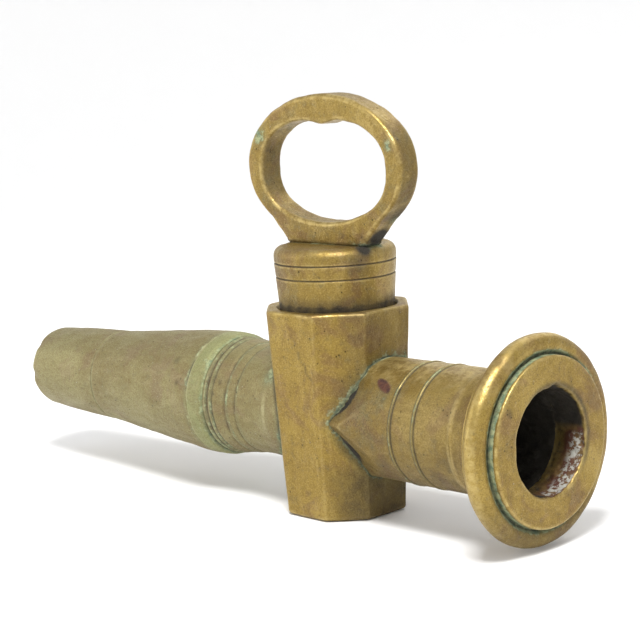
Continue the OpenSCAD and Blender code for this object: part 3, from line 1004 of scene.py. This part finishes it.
# Painted shade: a black patch on the head at the key ring's right foot, standing for a shaded crevice.
mark(bm, "dark", lambda co: 2.0 * near(co, (14.8, -4.0, head_z - 0.8), 3.4))
mark(bm, "grime_and_shade", lambda co: 0.6 * near(co, (15.5, -6.5, 43), 5.5))
mark(bm, "green", lambda co: 0.9 * smooth_step(6, 2, abs(co.y)) * smooth_step(17.5, 14.0, abs(co.x))
     * smooth_step(head_z - 1.5, head_z - 0.6, co.z))
finish_piece(bm, "plug", "plug_and_key", "cast_brass", key_brass, "plug")

# %% [markdown]
# The key is an oval ring for one or two fingers, brazed or cast onto the plug's head. The section is
# a softened rectangle. It is spun into a plain ring and then pushed out to the oval, so that the
# ring's points follow both of its outlines: the oval outside with its foot, the oval hole inside.

# %% Key ring
ring_half = (reach("key_ring")[1] - reach("key_ring")[0]) / 2
ring_top = reach("key_ring", "z")[1]
half_t = reach("key_ring", "y")[1]
RING_Z, RING_HIGH = 68.0, 20.0
HOLE_Z, HOLE_HALF, HOLE_HIGH = 67.0, 23.7, 14.0
HUB_Z = 67.5
SECTION_IN, SECTION_OUT = 20, 26
FOOT_Z = head_z - 0.4


def crossing(inside, furthest=40):
    """How far out a shape reaches along a ray, by halving."""
    near_end, far_end = 0.0, furthest
    for _ in range(30):
        middle = (near_end + far_end) / 2
        near_end, far_end = (middle, far_end) if inside(middle) else (near_end, middle)
    return near_end


def outer_reach(dx, dz):
    """The ring's outside along a ray from its middle, with the foot that spreads on the head."""
    oval = crossing(lambda t: (dx * t / ring_half) ** 2
                    + ((HUB_Z + dz * t - RING_Z) / RING_HIGH) ** 2 < 1)
    if dz > -0.42:
        return oval
    slant = 24.57 / (abs(dx) * 0.729 - dz * 0.685)
    upright = 15.2 / max(abs(dx), 0.001)
    foot = min((FOOT_Z - HUB_Z) / dz, max(slant, min(upright, 25.2)))
    return max(oval, foot)


def inner_reach(dx, dz):
    """The finger hole along a ray, with the small nib left by the pattern at the top."""
    power = 2.35 + 0.35 * dz
    oval = crossing(lambda t: abs(dx * t / HOLE_HALF) ** power
                    + abs((HUB_Z + dz * t - HOLE_Z) / HOLE_HIGH) ** power < 1)
    nib = 1.2 * math.exp(-(dx * oval / 4.2) ** 2) if dz > 0 else 0
    return oval - nib


def inner_gap(co):
    """How far a point of the ring lies outside the finger hole."""
    r = math.hypot(co.x, co.z - HUB_Z)
    return r - inner_reach(co.x / r, (co.z - HUB_Z) / r)


bm = bmesh.new()
section = rounded([(SECTION_IN, -half_t, 1.1), (SECTION_OUT, -half_t, 1.2),
                   (SECTION_OUT, half_t, 1.2), (SECTION_IN, half_t, 1.1)], 0.35)
verts = [bm.verts.new((p.x, p.y, 0)) for p in section]
edges = [bm.edges.new(pair) for pair in zip(verts, verts[1:] + verts[:1])]
bmesh.ops.spin(bm, geom=verts + edges, cent=(0, 0, 0), axis=(0, 1, 0), angle=math.tau, steps=420,
               use_merge=True)
bmesh.ops.remove_doubles(bm, verts=bm.verts, dist=0.001)
bmesh.ops.recalc_face_normals(bm, faces=bm.faces)
for v in bm.verts:
    r = math.hypot(v.co.x, v.co.z)
    dx, dz = v.co.x / r, v.co.z / r
    low, high = inner_reach(dx, dz), outer_reach(dx, dz)
    r = low + (r - SECTION_IN) / (SECTION_OUT - SECTION_IN) * (high - low)
    v.co.x, v.co.z = dx * r, HUB_Z + dz * r
swell(bm, 0.16, 7, 11)
swell(bm, 0.05, 2.2, 12)
for v in bm.verts:
    v.co.y = max(-half_t, min(half_t, v.co.y))
    v.co.z = min(v.co.z, ring_top)
mark_bends(bm)
mark(bm, "green", lambda co: 0.9 * (near(co, (-23.9, -3.5, 77), 4.5)
                                    + near(co, (25.2, -3.5, 74.2), 2.6)
                                    + near(co, (29.0, -1.0, 78), 4.0)))
mark(bm, "grime_and_shade", lambda co: 0.75 * smooth_step(FOOT_Z + 1.6, FOOT_Z + 0.4, co.z))
mark(bm, "green", lambda co: 0.7 * smooth_step(FOOT_Z + 2.2, FOOT_Z + 0.6, co.z)
     * smooth_step(6, 12, co.x))
# Painted shade in the pocket beside the ring's right foot.
mark(bm, "grime_and_shade", lambda co: 0.9 * near(co, (23.5, 2.0, 55.0), 7.0))
# Painted shade: a black crevice at the ring's right foot.
mark(bm, "dark", lambda co: 2.2 * near(co, (17.6, 0.5, 48.4), 5.0))
# Painted shade: the ring's outer side towards the hose is darkened.
mark(bm, "grime_and_shade", lambda co: 0.32 * smooth_step(22, 27, co.x) * smooth_step(-3.6, -2.0, co.y))
mark(bm, "green", lambda co: 0.8 * near(co, (22.0, 2.5, 52.5), 4.5))
mark(bm, "grime_and_shade", lambda co: 0.4 * smooth_step(-20, -22.5, co.x) * smooth_step(0.8, 0, inner_gap(co)))
mark(bm, "wear_and_sheen", lambda co: 0.9 * near(co, (22.0, -3.5, 81.5), 8.5)
     * smooth_step(-0.3, 0.0, noise.noise(co * 1.2)))
finish_piece(bm, "key_ring", "plug_and_key", "cast_brass", key_brass, "key_ring")

# %% [markdown]
# Under the barrel a washer and a nut pull the plug down into its taper. The washer sits on a square
# so that it turns with the plug and cannot work the nut loose.

# %% Washer and nut
washer_low, washer_high = reach("plug_washer", "z")
bm = turned([(washer_low, 4.15), (washer_low, 12.85, 0.5), (washer_high - 0.02, 12.85, 0.5),
             (washer_high - 0.02, 4.15)], upright=True, steps=128)
swell(bm, 0.04, 3, 13)
mark_bends(bm)
mark(bm, "grime_and_shade", lambda co: 0.5)
finish_piece(bm, "plug_washer", "plug_and_key", "cast_brass", key_brass, "plug_washer")

nut_low, nut_high = reach("plug_nut", "z")
nut_flat = reach("plug_nut", "y")[1]
bm = turned([(nut_low, 4.1), (nut_low, nut_flat, 0.2), (nut_low + 0.7, 7.6, 0.3),
             (nut_high, 7.6, 0.3), (nut_high, 4.1)], upright=True, steps=240, step=0.4)
for v in bm.verts:
    r, turn = math.hypot(v.co.x, v.co.y), math.atan2(v.co.y, v.co.x)
    off = turn % math.radians(60) - math.radians(30)
    k = min(1, nut_flat / math.cos(off) / r)
    v.co.x *= k
    v.co.y *= k
swell(bm, 0.03, 3, 14)
mark_bends(bm)
mark(bm, "grime_and_shade", lambda co: 0.35)
finish_piece(bm, "plug_nut", "plug_and_key", "cast_brass", key_brass, "plug_nut")

# %% [markdown]
# The two leather washers stay as the drawing office made them. Each is a plain ring that nothing
# shows of, so only their material is new.

# %% Washers from the frame
for name in ("neck_washer", "tip_washer"):
    node = frame["nodes"][name]
    node.data.materials.clear()
    node.data.materials.append(leather)
    print(name, "is", leather.name)

# %% [markdown]
# Last, the finished object's box is measured and printed. The object should fill
# the frame's box and not stand out of it.

# %% Sizes
low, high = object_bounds()
print("finished", [round(v / MM, 1) for v in high - low], "mm")
